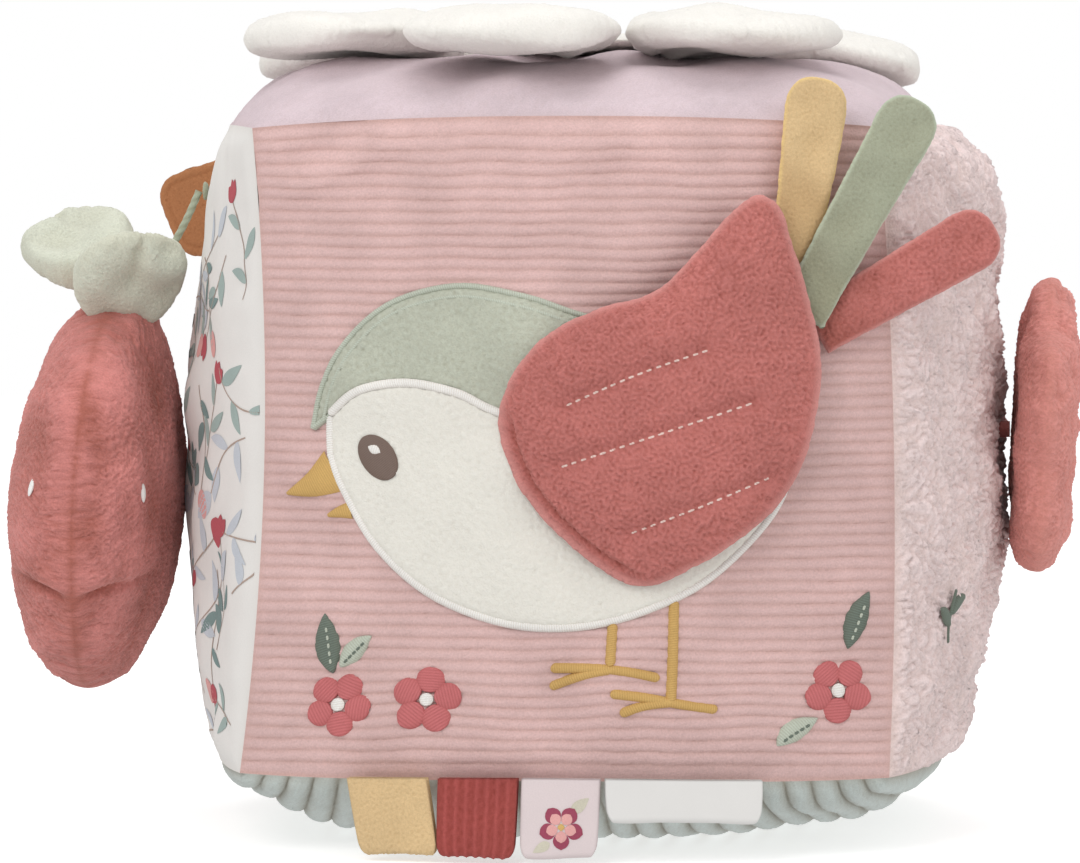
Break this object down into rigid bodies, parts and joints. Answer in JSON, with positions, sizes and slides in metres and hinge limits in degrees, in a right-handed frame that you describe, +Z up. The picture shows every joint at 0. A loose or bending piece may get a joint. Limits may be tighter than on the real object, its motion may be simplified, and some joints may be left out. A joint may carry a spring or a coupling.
{
  "type": "soft activity block",
  "caption": "Soft stuffed fabric cube for a baby, with a bird with padded wing, puffy petals on top, a hanging strawberry, a plush flower and ribbon tabs.",
  "frame": {"origin": "middle of the cube's footprint, on the plane that it stands on", "axes": "+Z up, -Y out of the front panel with the bird, +X towards the side with the plush flower"},
  "size_m": [0.26, 0.202, 0.1995],
  "materials": {
    "pink_rib": "fine horizontal rib knit",
    "lilac_velour": "velour",
    "white_cotton": "woven cotton",
    "sherpa": "curly pile",
    "grey_green_cord": "wide-ribbed corduroy",
    "sage_plush": "short plush",
    "cream_plush": "short plush",
    "brown_thread": "embroidery thread",
    "mustard_velour": "velour and embroidery thread",
    "rose_plush": "short plush",
    "leaf_green_thread": "embroidery thread",
    "light_sage_plush": "plush and twisted cord",
    "red_corduroy": "fine-ribbed corduroy",
    "white_satin": "satin ribbon",
    "caramel_velour": "velour",
    "foam": "soft foam",
    "wadding": "polyester wadding",
    "clear_plastic": "matt"
  },
  "bodies": {
    "block": {"back_panel": "white_cotton", "base_panel": "grey_green_cord", "bird_back": "sage_plush", "bird_beak": "mustard_velour", "bird_belly": "cream_plush", "bird_eye": "brown_thread", "bird_far_leg": "mustard_velour", "bird_near_leg": "mustard_velour", "blossom_1": "rose_plush", "blossom_2": "rose_plush", "blossom_3": "rose_plush", "flower_centre": "cream_plush", "foam_core": "foam", "foam_plug": "foam", "front_panel": "pink_rib", "leaf_1": "leaf_green_thread", "leaf_2": "leaf_green_thread", "leaf_3": "leaf_green_thread", "leaf_4": "leaf_green_thread", "left_panel": "white_cotton", "rattle_bead": "clear_plastic", "rattle_cup": "clear_plastic", "rattle_lid": "clear_plastic", "right_panel": "sherpa", "tail_root": "sage_plush", "top_panel": "lilac_velour"},
    "wing": {"wing_front_cover": "rose_plush", "wing_back_cover": "rose_plush", "wing_wadding": "wadding"},
    "mustard_feather": {"mustard_feather": "mustard_velour"},
    "sage_feather": {"sage_feather": "sage_plush"},
    "rose_feather": {"rose_feather": "rose_plush"},
    "cord_knot": {"cord_end": "light_sage_plush"},
    "strawberry": {"strawberry_cord": "light_sage_plush", "strawberry_outer_cover": "rose_plush", "strawberry_inner_cover": "rose_plush", "strawberry_wadding": "wadding", "crown_leaf_back": "light_sage_plush", "crown_leaf_front": "light_sage_plush"},
    "flower_stem": {"flower_shank": "light_sage_plush"},
    "plush_flower": {"flower_outer_cover": "rose_plush", "flower_inner_cover": "rose_plush", "flower_wadding": "wadding"},
    "mustard_tab": {"mustard_tab": "mustard_velour"},
    "corduroy_tab": {"corduroy_tab": "red_corduroy"},
    "print_tab": {"print_tab": "white_cotton"},
    "blank_label": {"blank_label": "white_satin"},
    "side_tab": {"side_tab": "caramel_velour"},
    "petal_1": {"petal_1": "cream_plush"},
    "petal_2": {"petal_2": "cream_plush"},
    "petal_3": {"petal_3": "cream_plush"},
    "petal_4": {"petal_4": "cream_plush"},
    "petal_5": {"petal_5": "cream_plush"},
    "petal_6": {"petal_6": "cream_plush"},
    "petal_7": {"petal_7": "cream_plush"}
  },
  "joints": [
    {"name": "wing_lift", "type": "hinge", "parent": "block", "child": "wing", "pos_m": [-0.00285, -0.09675, 0.07841], "axis": [0.6274, -0.0236, -0.7783], "range_deg": [0, 75], "stiffness_Nm_per_rad": 0.008},
    {"name": "mustard_feather_flex", "type": "hinge", "parent": "block", "child": "mustard_feather", "pos_m": [0.05686, -0.08539, 0.15823], "axis": [0.9642, 0.2142, -0.1562], "range_deg": [-8, 60], "stiffness_Nm_per_rad": 0.001},
    {"name": "sage_feather_flex", "type": "hinge", "parent": "block", "child": "sage_feather", "pos_m": [0.06393, -0.08714, 0.14027], "axis": [0.8538, 0.1707, -0.4917], "range_deg": [0, 60], "stiffness_Nm_per_rad": 0.001},
    {"name": "rose_feather_flex", "type": "hinge", "parent": "block", "child": "rose_feather", "pos_m": [0.06804, -0.08449, 0.12687], "axis": [0.49, 0.0664, -0.8692], "range_deg": [-8, 60], "stiffness_Nm_per_rad": 0.001},
    {"name": "petal_1_flex", "type": "hinge", "parent": "block", "child": "petal_1", "pos_m": [-0.00523, -0.03157, 0.19022], "axis": [-0.9866, 0.1633, 0], "range_deg": [-4, 20], "stiffness_Nm_per_rad": 0.01},
    {"name": "petal_2_flex", "type": "hinge", "parent": "block", "child": "petal_2", "pos_m": [0.02142, -0.02377, 0.19022], "axis": [-0.7428, -0.6695, 0], "range_deg": [-3, 20], "stiffness_Nm_per_rad": 0.01},
    {"name": "petal_3_flex", "type": "hinge", "parent": "block", "child": "petal_3", "pos_m": [0.03194, 0.00193, 0.19022], "axis": [0.0603, -0.9982, 0], "range_deg": [0, 20], "stiffness_Nm_per_rad": 0.01},
    {"name": "petal_4_flex", "type": "hinge", "parent": "block", "child": "petal_4", "pos_m": [0.01841, 0.02618, 0.19022], "axis": [0.818, -0.5752, 0], "range_deg": [0, 20], "stiffness_Nm_per_rad": 0.01},
    {"name": "petal_5_flex", "type": "hinge", "parent": "block", "child": "petal_5", "pos_m": [-0.00899, 0.03071, 0.19022], "axis": [0.9597, 0.2809, 0], "range_deg": [0, 20], "stiffness_Nm_per_rad": 0.01},
    {"name": "petal_6_flex", "type": "hinge", "parent": "block", "child": "petal_6", "pos_m": [-0.02962, 0.01212, 0.19022], "axis": [0.3788, 0.9255, 0], "range_deg": [0, 20], "stiffness_Nm_per_rad": 0.01},
    {"name": "petal_7_flex", "type": "hinge", "parent": "block", "child": "petal_7", "pos_m": [-0.02794, -0.0156, 0.19022], "axis": [-0.4874, 0.8732, 0], "range_deg": [-4, 20], "stiffness_Nm_per_rad": 0.01},
    {"name": "strawberry_turn", "type": "hinge", "parent": "block", "child": "cord_knot", "pos_m": [-0.09341, -0.01465, 0.15452], "axis": [1, 0, 0], "range_deg": [-20, 20]},
    {"name": "strawberry_swing", "type": "hinge", "parent": "cord_knot", "child": "strawberry", "pos_m": [-0.09341, -0.01465, 0.15452], "axis": [0, 1, 0], "range_deg": [0, 70]},
    {"name": "plush_flower_twist", "type": "hinge", "parent": "block", "child": "flower_stem", "pos_m": [0.10135, -0.00783, 0.09663], "axis": [1, 0, 0], "range_deg": [-25, 25], "stiffness_Nm_per_rad": 0.02},
    {"name": "plush_flower_nod", "type": "hinge", "parent": "flower_stem", "child": "plush_flower", "pos_m": [0.10465, -0.00783, 0.09663], "axis": [0, 1, 0], "range_deg": [-7, 7], "stiffness_Nm_per_rad": 0.02},
    {"name": "mustard_tab_flex", "type": "hinge", "parent": "block", "child": "mustard_tab", "pos_m": [-0.03792, -0.08925, 0.01749], "axis": [-0.9841, 0.1767, -0.0189], "range_deg": [-6, 80], "stiffness_Nm_per_rad": 0.0006},
    {"name": "corduroy_tab_flex", "type": "hinge", "parent": "block", "child": "corduroy_tab", "pos_m": [-0.01814, -0.09187, 0.01777], "axis": [-0.9963, 0.0856, -0.0092], "range_deg": [-6, 80], "stiffness_Nm_per_rad": 0.0006},
    {"name": "print_tab_flex", "type": "hinge", "parent": "block", "child": "print_tab", "pos_m": [0.00082, -0.09265, 0.01785], "axis": [-1, -0.0039, 0.0004], "range_deg": [-6, 80], "stiffness_Nm_per_rad": 0.0006},
    {"name": "blank_label_flex", "type": "hinge", "parent": "block", "child": "blank_label", "pos_m": [0.02885, -0.09068, 0.01764], "axis": [-0.9907, -0.1354, 0.0145], "range_deg": [-6, 80], "stiffness_Nm_per_rad": 0.0006},
    {"name": "side_tab_flex", "type": "hinge", "parent": "block", "child": "side_tab", "pos_m": [-0.0729, 0.07345, 0.15432], "axis": [-0.0847, 0.0117, 0.9963], "range_deg": [-45, 45], "stiffness_Nm_per_rad": 0.003}
  ]
}
